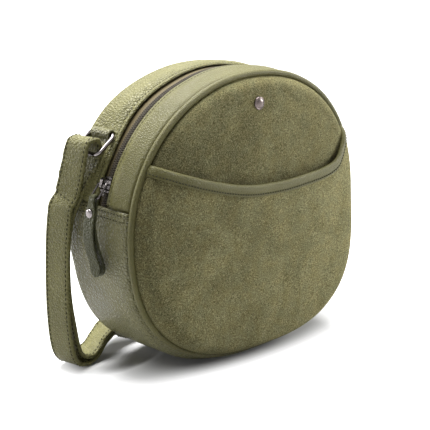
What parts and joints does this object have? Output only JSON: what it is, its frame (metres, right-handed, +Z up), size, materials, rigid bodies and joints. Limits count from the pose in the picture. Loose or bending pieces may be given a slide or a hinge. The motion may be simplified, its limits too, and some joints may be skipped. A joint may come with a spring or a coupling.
{
  "type": "circle bag",
  "caption": "Round crossbody bag with a zipped top, a curved slip pocket on the suede front, and an adjustable shoulder strap on rings.",
  "frame": {"origin": "middle of the flat under the side wall, where the bag stands", "axes": "+X across the bag to the right as seen from the front, -Y to the front with the pocket, +Z up"},
  "size_m": [0.2464, 0.1228, 0.205],
  "materials": {
    "suede": "suede nap",
    "grain_leather": "pebbled grain, satin",
    "smooth_leather": "fine grain, satin",
    "lining_cloth": "plain weave",
    "stiffener_board": "pressed fibre, matt",
    "piping_cord": "twisted cord",
    "zip_tape": "woven tape",
    "zip_coil": "nylon coil",
    "steel": "polished nickel",
    "stud_metal": "darkened nickel"
  },
  "bodies": {
    "bag_body": {"lower_gusset": "grain_leather", "gusset_lining": "lining_cloth", "back_panel": "grain_leather", "back_stiffener": "stiffener_board", "back_lining": "lining_cloth", "back_piping": "smooth_leather", "back_piping_cord": "piping_cord", "back_top_strip": "grain_leather", "back_top_lining": "lining_cloth", "back_zip_tape": "zip_tape", "back_zip_teeth": "zip_coil", "zip_stops": "steel", "left_strap_tab": "grain_leather", "right_strap_tab": "grain_leather"},
    "front_half": {"front_panel": "suede", "front_stiffener": "stiffener_board", "front_lining": "lining_cloth", "front_pocket": "suede", "pocket_binding": "smooth_leather", "front_piping": "smooth_leather", "front_piping_cord": "piping_cord", "front_top_strip": "smooth_leather", "front_top_lining": "lining_cloth", "front_zip_tape": "zip_tape", "front_zip_teeth": "zip_coil", "front_stud": "stud_metal", "stud_washer": "stud_metal"},
    "slider": {"zip_slider": "steel"},
    "puller": {"zip_puller": "steel"},
    "pull": {"leather_pull": "grain_leather", "pull_rivet": "steel"},
    "ring_left": {"left_ring": "steel"},
    "ring_right": {"right_ring": "steel"},
    "strap": {"strap_main": "grain_leather", "strap_return": "grain_leather", "strap_fold_left": "grain_leather", "strap_fold_right": "grain_leather"},
    "adjuster": {"strap_adjuster": "steel", "adjuster_loop": "grain_leather"}
  },
  "joints": [
    {"name": "zip_travel", "type": "hinge", "parent": "bag_body", "child": "slider", "pos_m": [0, 0, 0.095], "axis": [0, 1, 0], "range_deg": [0, 135]},
    {"name": "mouth_open", "type": "hinge", "parent": "bag_body", "child": "front_half", "pos_m": [0, -0.0277, 0], "axis": [1, 0, 0], "range_deg": [0, 8]},
    {"name": "puller_swing", "type": "hinge", "parent": "slider", "child": "puller", "pos_m": [-0.1053, 0, 0.13815], "axis": [0, 1, 0], "range_deg": [0, 100]},
    {"name": "pull_swing", "type": "hinge", "parent": "puller", "child": "pull", "pos_m": [-0.113, 0, 0.12955], "axis": [0, 1, 0], "range_deg": [0, 120]},
    {"name": "ring_left_swing", "type": "hinge", "parent": "bag_body", "child": "ring_left", "pos_m": [-0.08821, 0.0198, 0.16643], "axis": [0, 1, 0], "range_deg": [0, 5]},
    {"name": "ring_right_swing", "type": "hinge", "parent": "bag_body", "child": "ring_right", "pos_m": [0.08821, 0.0198, 0.16643], "axis": [0, 1, 0], "range_deg": [-5, 0]},
    {"name": "strap_lift", "type": "hinge", "parent": "bag_body", "child": "strap", "pos_m": [0, 0.0198, 0.15543], "axis": [1, 0, 0], "range_deg": [0, 160], "deforming": ["strap_fold_left", "strap_fold_right"]},
    {"name": "adjuster_slide", "type": "slide", "parent": "strap", "child": "adjuster", "axis": [0.9903, 0.1392, 0], "range_m": [0, 0.03]}
  ],
  "couplings": [
    {"joint": "mouth_open", "follows": "zip_travel", "ratio": 0.059259}
  ]
}
